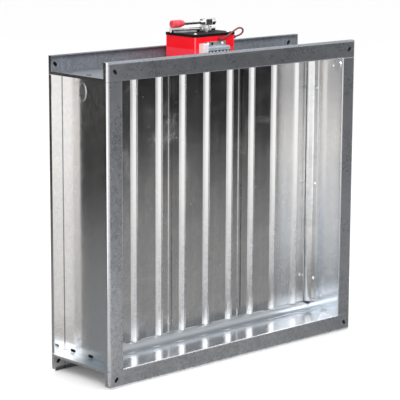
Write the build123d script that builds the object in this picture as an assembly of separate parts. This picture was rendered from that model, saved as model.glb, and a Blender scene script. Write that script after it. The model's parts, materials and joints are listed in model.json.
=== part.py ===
from build123d import *
import os
from math import cos, pi, radians, sin, sqrt, tan

# Motor-driven fire damper, in millimetres.
# X runs along the blades, Y from the front flange to the back one, Z up.
# The origin is the middle of the damper's footprint, at its lowest edge.

# Casing: four folded sheet panels with outward flanges
clear_width = 500.0
clear_height = 460.0
casing_depth = 150.0
flange_width = 30.0
lip_depth = 10.0
sheet = 1.5
lip_bend = 4.0
mouth_bend = 2.0
edge_hem = 4.5
panel_seam = 0.5
overcut = 1.0
corner_slot_length = 9.5
corner_slot_width = 5.5
corner_slot_inset = 15.0

# Tabs that lock the side panels into the top and bottom ones
tab_length = 12.0
tab_rise = 2.0
tab_pitch = 46.0
tab_middle = 6.0
tab_slot_clearance = 0.15
drain_slot_length = 13.0
drain_slot_height = 5.0
drain_slot_rise = 3.5
dimple_width = 18.0
dimple_height = 30.0
dimple_rise = 1.6
dimple_bevel = 1.6
dimple_back = 20.0
dimple_drop = 26.0
plug_radius = 9.5
plug_rim = 1.8
plug_rise = 1.6
plug_front = 15.0
plug_drop = 12.0

# Bowed seal strips round the mouth
bow_height = 13.0
head_height = 8.0
bow_width = 28.0
jamb_height = 9.5
bow_foot = 8.0
seal_sheet = 1.2
seal_joint = 0.5
rivet_radius = 3.0
rivet_rise = 1.4
rivet_pitch = 172.0

# Blades
blade_count = 3
blade_gap = 3.0
blade_side_gap = 2.0
blade_sheet = 1.5
blade_end_gap = 1.2
axis_back = 5.0
rib_pitch = 54.0
rib_base = 16.0
rib_top = 2.0
rib_height = 6.0
rib_round = 0.8
hem_width = 4.0
hem_height = 3.0
strip_sheet = 1.2
strip_grip = 12.0
strip_lap = 4.0
strip_joggle = 0.4
strip_overlap = 3.0

# Pivots, bushes, cranks and tie bar
pivot_radius = 5.0
running_gap = 0.05
tongue_width = 32.0
tongue_thick = 4.0
tongue_length = 60.0
collar_radius = 8.0
collar_gap = 0.3
bush_radius = 7.0
bush_flange_radius = 9.5
lower_bush_flange = 1.2
upper_bush_flange = 2.0
crank_reach = 20.0
crank_angle = 315.0
crank_thick = 3.0
crank_hub_radius = 8.0
crank_eye_radius = 5.5
crank_pin_radius = 3.0
crank_head_radius = 5.0
crank_head = 2.0
crank_gap = 0.3
tie_width = 10.0
tie_thick = 3.0
tie_end = 8.0

# Actuator housing, placed from the drive shaft
housing_left = 54.0
housing_right = 35.0
housing_front = 31.0
housing_back = 41.0
base_height = 29.5
cover_height = 20.0
housing_wall = 2.0
housing_round = 2.0
deck_height = 12.5
deck_thick = 2.0
rim_height = 1.8
rim_gap = 0.1
shaft_hole_radius = 6.5
window_margin = 2.0
lug_width = 14.0
lug_reach = 12.0
lug_thick = 3.0
lug_inset = 14.0
mount_screw_radius = 2.0
mount_head_radius = 4.0
mount_head = 2.5
mount_screw_depth = 5.0
plate_thick = 4.2
plate_overhang = 1.0
plate_round = 3.0
cover_screw_radius = 1.5
cover_head_radius = 3.0
cover_head = 1.8
cover_screw_inset = 8.0
cover_screw_depth = 6.0

# Lever on the drive shaft
hub_width = 16.0
hub_deep = 14.0
hub_height = 11.0
hub_round = 1.5
hub_lift = 11.3
rod_radius = 3.0
rod_reach = 76.0
rod_nut_across = 9.0
rod_nut_length = 4.0
grip_radius = 6.4
grip_nose_radius = 4.6
grip_length = 25.5
grip_cap = 2.0
grip_cap_round = 0.6
grip_shoulder = 9.6
grip_bulge_place = 3.8
grip_bulge_radius = 5.75
hub_bolt_across = 11.0
hub_bolt_head = 7.0
hub_washer = 1.5

# Gears: straight-flanked teeth
gear_module = 1.0
tooth_share = 0.42
tooth_tip = 0.8
tooth_root = 1.1
pressure_angle = 20.0
mesh_gap = 0.1

# Spring return: a toothed bar in a barrel, meshed with a pinion on the shaft
return_teeth = 14
return_turn = -15.0
return_pinion_height = 4.0
return_pinion_lift = 3.0
barrel_radius = 5.0
barrel_wall = 1.0
barrel_left = 62.0
barrel_right = 12.0
barrel_cap = 4.0
window_half = 9.5
bar_radius = 4.0
bar_right = 20.0
bar_left = 22.0
spare_teeth = 2
stem_radius = 2.0
stem_gap = 0.1
shoulder_width = 2.0
piston_width = 3.0
piston_rest_gap = 1.0
piston_gap = 0.1
spring_wire = 1.2
spring_turns = 6
rail_inner = 2.5
rail_outer = 4.8
rail_height = 2.2
rail_left = 58.0
rail_right = 16.0

# Drive motor and its gear sector
drive_angle = 90.0
sector_teeth = 48
sector_spread = 58.0
sector_lift = 4.0
sector_thick = 5.0
sector_hub_radius = 8.5
sector_hub_height = 8.0
motor_angle = 135.0
motor_teeth = 12
motor_radius = 15.0
motor_height = 14.0
motor_base_height = 4.7
motor_cap_radius = 12.0
motor_shaft_radius = 2.0
motor_plate_gap = 2.0
motor_plate_thick = 2.0
motor_plate_margin = 2.0
motor_post_radius = 2.5
motor_pad_radius = 5.0
motor_post_reach = 19.5
motor_post_angles = (35.0, 150.0, 215.0)

# Switches worked by cams on the shaft
cam_radius = 10.0
cam_lobe = 2.2
cam_nose = 3.3
cam_thick = 4.0
cam_base_lift = 14.0
switch_length = 20.0
switch_deep = 10.0
switch_thick = 6.4
switch_round = 0.5
switch_step = 7.0
button_radius = 1.2
button_reach = 1.9
button_seat = 2.0
button_travel = 0.6
button_gap = 0.3
bracket_sheet = 1.5
bracket_foot = 6.0

# Terminals on the housing's front
terminal_left = 34.0
terminal_right = 14.0
terminal_deep = 12.0
terminal_top = 33.5
terminal_split = 27.0
terminal_bottom = 16.5
terminal_step = 2.0
terminal_pitch = 8.0
terminal_ways = 6
terminal_screw_radius = 1.8
terminal_screw_rise = 1.0
terminal_screw_slot = 0.7
terminal_notch = 0.8
end_block_width = 11.0
end_block_top = 39.0
end_block_bottom = 22.0
plate_strip_rise = 4.0
plate_strip_height = 7.5
plate_strip_sheet = 1.5
plate_hole_radius = 2.5
plate_hole_left = 17.0
plate_screw_radius = 2.6
plate_screw_rise = 1.5
plate_screw_inset = 8.0

# Lead that loops from the cover's front to its right side. Its points are placed from the
# drive shaft, the housing's front and the cover's lower edge.
lead_radius = 1.5
boss_radius = 3.0
boss_reach = 4.5
lead_bend_share = 0.45
lead_route = [
    (0.0, -3, 14.8),
    (5, -5.5, 16),
    (12, -6.5, 18.8),
    (22, -6.5, 24),
    (32, -6, 29),
    (42, -5, 31.5),
    (51, -3.5, 28.5),
    (52.5, -1.5, 22),
    (45.5, 1.5, 17),
    (37, 4.5, 15.5),
]

# Levels and places that follow from the sizes above
half_width = clear_width / 2 + flange_width
half_clear = clear_width / 2
half_depth = casing_depth / 2
floor = flange_width
ceiling = flange_width + clear_height
middle = flange_width + clear_height / 2
roof = ceiling + sheet
blade_bottom = floor + bow_height + blade_end_gap
blade_top = ceiling - head_height - blade_end_gap
blade_span = clear_width - 2 * (jamb_height + blade_side_gap)
blade_pitch = (blade_span + blade_gap) / blade_count
half_blade = (blade_pitch - blade_gap) / 2
blade_places = [blade_pitch * (i - (blade_count - 1) / 2) for i in range(blade_count)]
drive_index = blade_count // 2
drive_x = blade_places[drive_index]
rib_places = [-rib_pitch, 0.0, rib_pitch]
tab_places = [tab_middle + tab_pitch * i for i in (-1, 0, 1)]
bore_radius = pivot_radius + running_gap
crank_low = roof + upper_bush_flange + crank_gap
crank_high = crank_low + crank_thick
tie_low = crank_high + crank_gap
tie_high = tie_low + tie_thick
crank_dx = crank_reach * cos(radians(crank_angle))
crank_dy = crank_reach * sin(radians(crank_angle))
house_x0 = drive_x - housing_left
house_x1 = drive_x + housing_right
house_y0 = axis_back - housing_front
house_y1 = axis_back + housing_back
deck_low = roof + deck_height
deck_high = deck_low + deck_thick
base_top = roof + base_height
cover_top = base_top + cover_height
plate_top = cover_top + plate_thick
hub_low = plate_top + hub_lift
hub_high = hub_low + hub_height
lever_level = hub_low + hub_height / 2
circular_pitch = pi * gear_module
return_radius = return_teeth * gear_module / 2
bar_offset = return_radius + mesh_gap + bar_radius - tooth_tip - tooth_tip
barrel_level = plate_top + barrel_radius
return_stroke = return_radius * radians(drive_angle)
sector_radius = sector_teeth * gear_module / 2
motor_distance = sector_radius + motor_teeth * gear_module / 2 + mesh_gap
motor_x = drive_x + motor_distance * cos(radians(motor_angle))
motor_y = axis_back + motor_distance * sin(radians(motor_angle))
sector_low = deck_high + sector_lift
sector_high = sector_low + sector_thick
motor_plate_low = sector_high + motor_plate_gap
motor_low = motor_plate_low + motor_plate_thick
cam_low = deck_high + cam_base_lift
switch_face = drive_x + cam_radius + cam_lobe + button_gap + button_reach
lead_points = [Vector(drive_x + x, house_y0 + y, base_top + z) for x, y, z in lead_route]


def block(x0, x1, y0, y1, z0, z1):
    return Pos((x0 + x1) / 2, (y0 + y1) / 2, (z0 + z1) / 2) * Box(x1 - x0, y1 - y0, z1 - z0)


def post(x, y, z0, z1, radius):
    return Pos(x, y, (z0 + z1) / 2) * Cylinder(radius, z1 - z0)


def bar_x(x0, x1, y, z, radius):
    return Pos((x0 + x1) / 2, y, z) * Rot(0, 90, 0) * Cylinder(radius, x1 - x0)


def bar_y(x, y0, y1, z, radius):
    return Pos(x, (y0 + y1) / 2, z) * Rot(90, 0, 0) * Cylinder(radius, y1 - y0)


def polygon(points):
    return make_face(Polyline(*points, close=True))


def upright(sketch, z0, z1):
    return extrude(Pos(0, 0, z0) * sketch, z1 - z0)


def near(a, b):
    return abs(a - b) < 1e-4


def edges_where(part, test):
    return [edge for edge in part.edges() if test(edge.center())]


def save(name, part):
    export_step(part, f"parts/{name}.step")


# Casing panels


def rounding_bar(length, radius):
    """Square bar along X less its round: trims a corner that points to -Y and +Z."""
    square = Pos(0, radius / 2, -radius / 2) * Box(length, radius, radius)
    return square - Pos(0, radius, -radius) * Rot(0, 90, 0) * Cylinder(radius, length)


def end_flange():
    """Front flange of the bottom panel, with lips below and at both ends."""
    outside = block(-half_width, half_width, -half_depth, lip_depth - half_depth, 0, flange_width)
    hollow = block(
        sheet - half_width, half_width - sheet, sheet - half_depth, 2 * lip_depth - half_depth,
        sheet, flange_width - sheet,
    )
    outside = fillet(
        edges_where(outside, lambda c: near(c.Y, -half_depth) and c.Z < flange_width - sheet), lip_bend
    )
    hollow = fillet(
        edges_where(hollow, lambda c: near(c.Y, sheet - half_depth) and c.Z < flange_width - 2 * sheet),
        lip_bend - sheet,
    )
    tray = outside - hollow
    tray -= Pos(0, -half_depth, flange_width) * rounding_bar(clear_width, mouth_bend)
    for side in (-1, 1):
        place = Pos(side * (half_width - corner_slot_inset), -half_depth, corner_slot_inset)
        slot = Plane.XZ * SlotOverall(corner_slot_length, corner_slot_width, rotation=-45 * side)
        tray -= place * extrude(slot, sheet, both=True)
    return tray


def side_slots():
    """Slots that take the side panels' tabs."""
    gap = tab_slot_clearance
    cuts = []
    for side in (-1, 1):
        wall = side * (half_clear + sheet / 2)
        for y in tab_places:
            cuts.append(block(
                wall - sheet / 2 - gap, wall + sheet / 2 + gap,
                y - tab_length / 2 - gap, y + tab_length / 2 + gap, floor - 2 * sheet, floor + sheet,
            ))
    return cuts


def end_panel(holes):
    """Bottom panel, as its web with hemmed side edges and its two flanges."""
    flange = end_flange()
    web = block(
        -half_width, half_width, lip_depth - half_depth, half_depth - lip_depth, floor - sheet, floor
    )
    for side in (-1, 1):
        edge = side * (half_width - sheet / 2)
        web += block(
            edge - sheet / 2, edge + sheet / 2, lip_depth - half_depth, half_depth - lip_depth,
            floor - edge_hem, floor,
        )
    for x in blade_places:
        web -= post(x, axis_back, floor - 2 * sheet, floor + sheet, bush_radius)
    for x, y in holes:
        web -= post(x, y, floor - 2 * sheet, floor + sheet, mount_screw_radius)
    for cut in side_slots():
        web -= cut
    return [solid_of(web), solid_of(flange), solid_of(mirror(flange, about=Plane.XZ))]


def side_panel():
    """Left panel: wall, front and back flanges, tabs, drain slots."""
    low, high = floor + panel_seam, ceiling - panel_seam
    outside = block(-half_width, -half_clear, -half_depth, lip_depth - half_depth, low, high)
    outside = fillet(
        edges_where(outside, lambda c: near(c.X, -half_width) and near(c.Y, -half_depth)), lip_bend
    )
    hollow = block(
        sheet - half_width, -half_clear - sheet, sheet - half_depth, 2 * lip_depth - half_depth,
        low - sheet, high + sheet,
    )
    hollow = fillet(
        edges_where(hollow, lambda c: near(c.X, sheet - half_width) and near(c.Y, sheet - half_depth)),
        lip_bend - sheet,
    )
    flange = outside - hollow
    bend = Rot(0, 90, 0) * rounding_bar(clear_height, mouth_bend)
    flange -= Pos(-half_clear, -half_depth, middle) * bend
    wall = block(
        -half_clear - sheet, -half_clear, lip_depth - half_depth, half_depth - lip_depth, floor, ceiling
    )
    panel = flange + mirror(flange, about=Plane.XZ) + wall
    for y in tab_places:
        panel += block(
            -half_clear - sheet, -half_clear, y - tab_length / 2, y + tab_length / 2,
            floor - sheet - tab_rise, ceiling + sheet + tab_rise,
        )
        drain = Pos(y, floor + drain_slot_rise) * SlotOverall(drain_slot_length, drain_slot_height)
        panel -= Pos(-half_clear - sheet / 2, 0, 0) * extrude(Plane.YZ * drain, sheet, both=True)
    return panel


def left_panel():
    """Left wall with a low oval pad pressed outwards."""
    face = -half_clear - sheet
    middle_point = Pos(dimple_back, ceiling - dimple_drop)
    rings = []
    for rise, inset in ((0.0, 0.0), (dimple_rise, dimple_bevel)):
        ring = middle_point * Ellipse(dimple_width / 2 - inset, dimple_height / 2 - inset)
        rings.append(Plane.YZ.offset(face - rise) * ring)
    return side_panel() + loft(rings)


def bottom_panel():
    return Compound(children=end_panel([]))


def top_panel():
    folds = end_panel(list(lug_points()))
    return Compound(children=[solid_of(mirror(fold, about=Plane.XY.offset(middle))) for fold in folds])


def wall_plug():
    """Round blanking plug on the inside of the right wall."""
    y = plug_front - half_depth
    z = ceiling - plug_drop
    disc = bar_x(half_clear - plug_rise, half_clear, y, z, plug_radius)
    return disc - bar_x(half_clear - plug_rise, half_clear - plug_rise / 2, y, z, plug_radius - plug_rim)


# Seal strips


def bow(height):
    """Section of a bowed strip on two flat feet, standing on the sketch's X axis."""
    half = bow_width / 2
    radius = (half**2 + height**2) / (2 * height)
    ring = Pos(0, height - radius) * (Circle(radius) - Circle(radius - seal_sheet))
    above = Pos(0, height) * Rectangle(2 * bow_width, 2 * height)
    section = ring & above
    for side in (-1, 1):
        inner = half - seal_sheet
        foot = half + bow_foot - inner
        section += Pos(side * (inner + foot / 2), seal_sheet / 2) * Rectangle(foot, seal_sheet)
    return section


def sill(height):
    plane = Plane(origin=(-half_clear, axis_back, floor), x_dir=(0, 1, 0), z_dir=(1, 0, 0))
    strip = extrude(plane * bow(height), clear_width)
    for x in blade_places:
        strip -= post(x, axis_back, floor, floor + 2 * height, bush_radius)
    return strip


def jamb():
    low = floor + bow_height + seal_joint
    high = ceiling - head_height - seal_joint
    plane = Plane(origin=(half_clear, axis_back, low), x_dir=(0, 1, 0), z_dir=(0, 0, 1))
    return extrude(plane * bow(jamb_height), high - low)


def jamb_rivets():
    y = axis_back - bow_width / 2 - bow_foot / 2
    seat = half_clear - seal_sheet
    heads = []
    for side in (-1, 1):
        for step in (-1, 0, 1):
            head = Pos(side * seat, y, middle + step * rivet_pitch) * Rot(0, -90 * side, 0)
            heads.append(head * dome(rivet_radius, rivet_rise))
    return Compound(children=heads)


def dome(radius, rise):
    """Low round head standing on XY."""
    ball = (radius**2 + rise**2) / (2 * rise)
    flat = Cylinder(radius, rise, align=(Align.CENTER, Align.CENTER, Align.MIN))
    return solid_of(flat & Pos(0, 0, rise - ball) * Sphere(ball))


def solid_of(part):
    return part.solids()[0]


# Blades


def blade_section():
    """Ribbed sheet with hems folded to the front. The pivot axis is the sketch's origin."""
    section = Pos(0, -blade_sheet / 2) * Rectangle(2 * half_blade, blade_sheet)
    lean = (rib_base - rib_top) / 2 / rib_height
    inset = blade_sheet * sqrt(1 + lean**2) - lean * blade_sheet
    crest = -blade_sheet - rib_height
    for x in rib_places:
        section += polygon([
            (x - rib_base / 2, -blade_sheet), (x - rib_top / 2, crest),
            (x + rib_top / 2, crest), (x + rib_base / 2, -blade_sheet),
        ])
    tips = [v for v in section.vertices() if near(v.Y, crest)]
    section = fillet(tips, rib_round)
    for x in rib_places:
        low = rib_base / 2 - inset
        high = low - lean * rib_height
        section -= polygon([(x - low, 0), (x - high, -rib_height), (x + high, -rib_height), (x + low, 0)])
    for side in (-1, 1):
        edge = Pos(side * (half_blade - blade_sheet / 2), -hem_height / 2)
        fold = Pos(side * (half_blade - hem_width / 2), blade_sheet / 2 - hem_height)
        section += edge * Rectangle(blade_sheet, hem_height) + fold * Rectangle(hem_width, blade_sheet)
    return section


def blade(x):
    return upright(Pos(x, axis_back) * blade_section(), blade_bottom, blade_top)


def seam_strip(x):
    """Joggled strip behind a blade's left edge, which laps the next blade."""
    edge = x - half_blade
    held = block(edge + hem_width, edge + hem_width + strip_grip, 0, strip_sheet, blade_bottom, blade_top)
    free = block(
        edge - blade_gap - strip_lap, edge + hem_width + strip_overlap, strip_joggle,
        strip_joggle + strip_sheet, blade_bottom, blade_top,
    )
    return Pos(0, axis_back, 0) * (held + free)


def tongue(x, z0, z1):
    return block(x - tongue_width / 2, x + tongue_width / 2, axis_back, axis_back + tongue_thick, z0, z1)


def lower_pivot(x):
    seat = floor + bow_height + collar_gap
    stop = blade_bottom - collar_gap
    pin = post(x, axis_back, floor - 2 * sheet, stop, pivot_radius)
    pin += post(x, axis_back, seat, stop, collar_radius)
    return pin + tongue(x, seat, blade_bottom + tongue_length)


def upper_pivot(x, top):
    start = blade_top + collar_gap
    stop = ceiling - head_height - collar_gap
    pin = post(x, axis_back, start, top, pivot_radius)
    pin += post(x, axis_back, start, stop, collar_radius)
    return pin + tongue(x, blade_top - tongue_length, stop)


def lower_bush(x):
    crown = floor + bow_height
    under = floor - sheet
    bush = post(x, axis_back, under, crown, bush_radius)
    bush += post(x, axis_back, under - lower_bush_flange, under, bush_flange_radius)
    return solid_of(bush - post(x, axis_back, 0, 2 * crown, bore_radius))


def upper_bush(x):
    crown = ceiling - head_height
    bush = post(x, axis_back, crown, roof, bush_radius)
    bush += post(x, axis_back, roof, roof + upper_bush_flange, bush_flange_radius)
    return solid_of(bush - post(x, axis_back, crown - sheet, roof + 2 * upper_bush_flange, bore_radius))


def crank(x):
    """Arm clamped on a pivot, with its shouldered pin."""
    pin_x, pin_y = x + crank_dx, axis_back + crank_dy
    side_x = sin(radians(crank_angle))
    side_y = -cos(radians(crank_angle))
    web = polygon([
        (x + crank_hub_radius * side_x, axis_back + crank_hub_radius * side_y),
        (pin_x + crank_eye_radius * side_x, pin_y + crank_eye_radius * side_y),
        (pin_x - crank_eye_radius * side_x, pin_y - crank_eye_radius * side_y),
        (x - crank_hub_radius * side_x, axis_back - crank_hub_radius * side_y),
    ])
    arm = upright(web, crank_low, crank_high)
    arm += post(x, axis_back, crank_low, crank_high, crank_hub_radius)
    arm += post(pin_x, pin_y, crank_low, crank_high, crank_eye_radius)
    arm -= post(x, axis_back, crank_low - overcut, crank_high + overcut, pivot_radius)
    head = tie_high + crank_gap
    arm += post(pin_x, pin_y, crank_high, head, crank_pin_radius)
    return arm + post(pin_x, pin_y, head, head + crank_head, crank_head_radius)


def tie_bar():
    y = axis_back + crank_dy
    x0, x1 = blade_places[0] + crank_dx - tie_end, blade_places[-1] + crank_dx + tie_end
    flat = Pos((x0 + x1) / 2, y) * SlotOverall(x1 - x0, tie_width)
    bar = upright(flat, tie_low, tie_high)
    for x in blade_places:
        bar -= post(x + crank_dx, y, tie_low - overcut, tie_high + overcut, crank_pin_radius + running_gap)
    return bar


# Actuator housing


def lug_points():
    for x in (house_x0 + lug_inset, house_x1 - lug_inset):
        for y in (house_y0 - lug_reach / 2, house_y1 + lug_reach / 2):
            yield x, y


def shell(z0, z1):
    body = block(house_x0, house_x1, house_y0, house_y1, z0, z1)
    return fillet(body.edges().filter_by(Axis.Z), housing_round)


def room(z0, z1, gap=0.0):
    wall = housing_wall + gap
    return block(house_x0 + wall, house_x1 - wall, house_y0 + wall, house_y1 - wall, z0, z1)


def housing_base():
    """Open-bottomed base: a deck above, a tunnel for the tie bar below."""
    base = shell(roof, base_top) - room(deck_high, base_top) - room(roof, deck_low)
    front = axis_back - crank_reach - tie_width / 2 - window_margin
    back = axis_back + crank_dy + tie_width / 2 + window_margin
    base -= block(house_x0 - overcut, house_x1 + overcut, front, back, roof, deck_low - window_margin)
    base -= post(drive_x, axis_back, deck_low - overcut, deck_high + overcut, shaft_hole_radius)
    for x, y in lug_points():
        inner = house_y0 if y < axis_back else house_y1
        outer = inner + 2 * (y - inner)
        near_y, far_y = sorted((inner, outer))
        lug = block(x - lug_width / 2, x + lug_width / 2, near_y, far_y, roof, roof + lug_thick)
        base += lug - post(x, y, roof - overcut, roof + 2 * lug_thick, mount_screw_radius)
    return base


def mount_screws():
    screws = []
    for x, y in lug_points():
        seat = roof + lug_thick
        screw = post(x, y, roof - mount_screw_depth, seat, mount_screw_radius)
        screws.append(solid_of(screw + Pos(x, y, seat) * dome(mount_head_radius, mount_head)))
    return Compound(children=screws)


def cover_screw_points():
    for x in (house_x0 + cover_screw_inset, house_x1 - cover_screw_inset):
        for y in (house_y0 + cover_screw_inset, house_y1 - cover_screw_inset):
            yield x, y


def housing_cover():
    """Lid of the housing, with a locating rim that drops into the base."""
    cover = shell(base_top, cover_top) - room(base_top, cover_top - housing_wall)
    rim = room(base_top - rim_height, base_top, rim_gap) + room(base_top, base_top + rim_height)
    cover += rim - room(base_top - 2 * rim_height, base_top + 2 * rim_height, rim_gap + housing_wall)
    cover -= post(drive_x, axis_back, base_top, cover_top + overcut, shaft_hole_radius)
    for x, y in cover_screw_points():
        cover -= post(x, y, base_top, cover_top + overcut, cover_screw_radius)
    return cover


def top_plate():
    over = plate_overhang
    plate = block(house_x0 - over, house_x1 + over, house_y0 - over, house_y1 + over, cover_top, plate_top)
    plate = fillet(plate.edges().filter_by(Axis.Z), plate_round)
    plate -= post(drive_x, axis_back, cover_top - overcut, plate_top + overcut, shaft_hole_radius)
    for x, y in cover_screw_points():
        plate -= post(x, y, cover_top - overcut, plate_top + overcut, cover_screw_radius)
    return plate


def cover_screws():
    screws = []
    for x, y in cover_screw_points():
        screw = post(x, y, cover_top - cover_screw_depth, plate_top, cover_screw_radius)
        screws.append(solid_of(screw + Pos(x, y, plate_top) * dome(cover_head_radius, cover_head)))
    return Compound(children=screws)


# Lever


def lever_hub():
    hub = block(
        drive_x - hub_width / 2, drive_x + hub_width / 2, axis_back - hub_deep / 2, axis_back + hub_deep / 2,
        hub_low, hub_high,
    )
    hub = fillet(hub.edges(), hub_round)
    hub -= post(drive_x, axis_back, hub_low - overcut, hub_high + overcut, pivot_radius)
    return hub - bar_x(drive_x - hub_width, drive_x + hub_width, axis_back, lever_level, rod_radius)


def hex_x(x0, x1, across, radius):
    """Hexagon along X on the lever's line, bored to a radius."""
    plane = Plane(origin=(x0, axis_back, lever_level), x_dir=(0, 1, 0), z_dir=(1, 0, 0))
    nut = extrude(plane * RegularPolygon(across / 2, 6, major_radius=False), x1 - x0)
    return nut - bar_x(x0 - overcut, x1 + overcut, axis_back, lever_level, radius)


def hub_bolt():
    face = drive_x + hub_width / 2
    bolt = bar_x(drive_x + pivot_radius, face + hub_washer, axis_back, lever_level, rod_radius)
    bolt += bar_x(face, face + hub_washer, axis_back, lever_level, hub_bolt_across / 2)
    start = face + hub_washer
    plane = Plane(origin=(start, axis_back, lever_level), x_dir=(0, 1, 0), z_dir=(1, 0, 0))
    return bolt + extrude(plane * RegularPolygon(hub_bolt_across / 2, 6, major_radius=False), hub_bolt_head)


def lever_rod():
    return bar_x(drive_x - rod_reach, drive_x - pivot_radius, axis_back, lever_level, rod_radius)


def rod_nut():
    face = drive_x - hub_width / 2
    return hex_x(face - rod_nut_length, face, rod_nut_across, rod_radius)


def lever_grip():
    """Turned grip, slimmer towards the hub, closed at its outer end."""
    outline = make_face([
        Line((0, rod_radius), (0, grip_nose_radius)),
        ThreePointArc(
            (0, grip_nose_radius), (grip_bulge_place, grip_bulge_radius), (grip_shoulder, grip_radius)
        ),
        Line((grip_shoulder, grip_radius), (grip_length - grip_cap, grip_radius)),
        ThreePointArc(
            (grip_length - grip_cap, grip_radius),
            (grip_length - grip_cap_round, grip_radius - grip_cap_round),
            (grip_length, grip_radius - grip_cap),
        ),
        Line((grip_length, grip_radius - grip_cap), (grip_length, 0)),
        Line((grip_length, 0), (grip_length - grip_cap, 0)),
        Line((grip_length - grip_cap, 0), (grip_length - grip_cap, rod_radius)),
        Line((grip_length - grip_cap, rod_radius), (0, rod_radius)),
    ])
    grip = revolve(outline, Axis.X)
    return Pos(drive_x - rod_reach + grip_length - grip_cap, axis_back, lever_level) * Rot(0, 0, 180) * grip


# Gears


def tooth_halves():
    """Half widths of a tooth at its tip and at its root."""
    half = tooth_share * circular_pitch / 2
    lean = tan(radians(pressure_angle))
    return half - tooth_tip * lean, half + tooth_root * lean


def gear_face(teeth, phase):
    """Gear outline round the origin, with a tooth centred on the phase angle."""
    pitch_radius = teeth * gear_module / 2
    tip_half, root_half = tooth_halves()
    points = []
    for k in range(teeth):
        centre = radians(phase) + 2 * pi * k / teeth
        for radius, turn in (
            (pitch_radius - tooth_root, -root_half), (pitch_radius + tooth_tip, -tip_half),
            (pitch_radius + tooth_tip, tip_half), (pitch_radius - tooth_root, root_half),
        ):
            angle = centre + turn / radius
            points.append((radius * cos(angle), radius * sin(angle)))
    return polygon(points)


def sector_gear():
    """Part gear on the shaft that the motor drives."""
    gear = gear_face(sector_teeth, motor_angle)
    far = 2 * sector_radius
    start = motor_angle + drive_angle / 2
    fan = polygon([(0, 0)] + [
        (far * cos(radians(start + turn)), far * sin(radians(start + turn)))
        for turn in (-sector_spread, 0, sector_spread)
    ])
    sector = upright(Pos(drive_x, axis_back) * (gear & fan), sector_low, sector_high)
    hub_top = sector_low + sector_hub_height
    sector += post(drive_x, axis_back, sector_low, hub_top, sector_hub_radius)
    return sector - post(drive_x, axis_back, sector_low - overcut, hub_top + overcut, pivot_radius)


def motor_pinion():
    facing = motor_angle + 180 + 180 / motor_teeth
    pinion = upright(Pos(motor_x, motor_y) * gear_face(motor_teeth, facing), sector_low, sector_high)
    return pinion + post(motor_x, motor_y, sector_high, motor_low, motor_shaft_radius)


def motor_post_points():
    for angle in motor_post_angles:
        turn = radians(angle)
        yield motor_x + motor_post_reach * cos(turn), motor_y + motor_post_reach * sin(turn)


def motor_plate():
    """Plate on three legs that carries the motor over the sector."""
    plate_radius = motor_radius + motor_plate_margin
    outline = Pos(motor_x, motor_y) * Circle(plate_radius)
    for x, y in motor_post_points():
        outline += Pos(x, y) * Circle(motor_pad_radius)
    plate = upright(outline, motor_plate_low, motor_low)
    low, high = motor_plate_low - overcut, motor_low + overcut
    plate -= post(drive_x, axis_back, low, high, sector_hub_radius + motor_plate_gap)
    plate -= post(motor_x, motor_y, low, high, motor_shaft_radius + running_gap)
    for x, y in motor_post_points():
        plate += post(x, y, deck_high, motor_plate_low, motor_post_radius)
    return plate


def gear_motor():
    """Flat geared motor with a stepped can."""
    step = motor_low + motor_base_height
    can = post(motor_x, motor_y, motor_low, step, motor_radius)
    return can + post(motor_x, motor_y, step, motor_low + motor_height, motor_cap_radius)


# Spring return, laid out along X behind the shaft and then turned about it


def turned(part):
    return Pos(drive_x, axis_back, 0) * Rot(0, 0, return_turn) * part


def return_pinion():
    low = plate_top + return_pinion_lift
    facing = 90 + 180 / return_teeth
    pinion = upright(gear_face(return_teeth, facing), low, low + return_pinion_height)
    return turned(pinion - post(0, 0, low - overcut, low + return_pinion_height + overcut, pivot_radius))


def spring_barrel():
    """Tube with a closed end, an inner shoulder and a window for the pinion."""
    inner = barrel_radius - barrel_wall
    tube = bar_x(-barrel_left, barrel_right, bar_offset, barrel_level, barrel_radius)
    stop = -bar_left - piston_rest_gap
    start = stop - shoulder_width
    tube -= bar_x(barrel_cap - barrel_left, start, bar_offset, barrel_level, inner)
    tube -= bar_x(start - overcut, stop + overcut, bar_offset, barrel_level, stem_radius + stem_gap)
    tube -= bar_x(stop, barrel_right + overcut, bar_offset, barrel_level, bar_radius + running_gap)
    tip = return_radius + tooth_tip + 2 * mesh_gap
    tube -= block(
        -window_half, window_half, 0, tip + mesh_gap, plate_top - overcut, barrel_level + 2 * barrel_radius
    )
    return turned(tube)


def piston_left():
    return -barrel_left + barrel_cap + piston_rest_gap


def return_rack():
    """Round bar with teeth cut in its shaft side, and a stem for the piston."""
    bar = bar_x(-bar_left, bar_right, bar_offset, barrel_level, bar_radius)
    pitch_line = return_radius + mesh_gap
    tip_half, root_half = tooth_halves()
    reach = int((return_stroke + circular_pitch) / circular_pitch) + 1
    teeth = []
    for k in range(-reach, spare_teeth + 1):
        centre = k * circular_pitch
        teeth.append(polygon([
            (centre - root_half, pitch_line + tooth_root), (centre - tip_half, pitch_line - tooth_tip),
            (centre + tip_half, pitch_line - tooth_tip), (centre + root_half, pitch_line + tooth_root),
        ]))
    first = -(reach + 0.5) * circular_pitch
    last = (spare_teeth + 0.5) * circular_pitch
    low, high = barrel_level - bar_radius, barrel_level + bar_radius
    cut = block(first, last, 0, pitch_line + tooth_root, low - overcut, high + overcut)
    for tooth in teeth:
        cut -= upright(tooth, low - 2 * overcut, high + 2 * overcut)
    bar -= cut
    bar += bar_x(piston_left(), -bar_left, bar_offset, barrel_level, stem_radius)
    return turned(bar)


def rack_piston():
    inner = barrel_radius - barrel_wall - piston_gap
    left = piston_left()
    right = left + piston_width
    piston = bar_x(left, right, bar_offset, barrel_level, inner)
    return turned(piston - bar_x(left - overcut, right + overcut, bar_offset, barrel_level, stem_radius))


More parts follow.
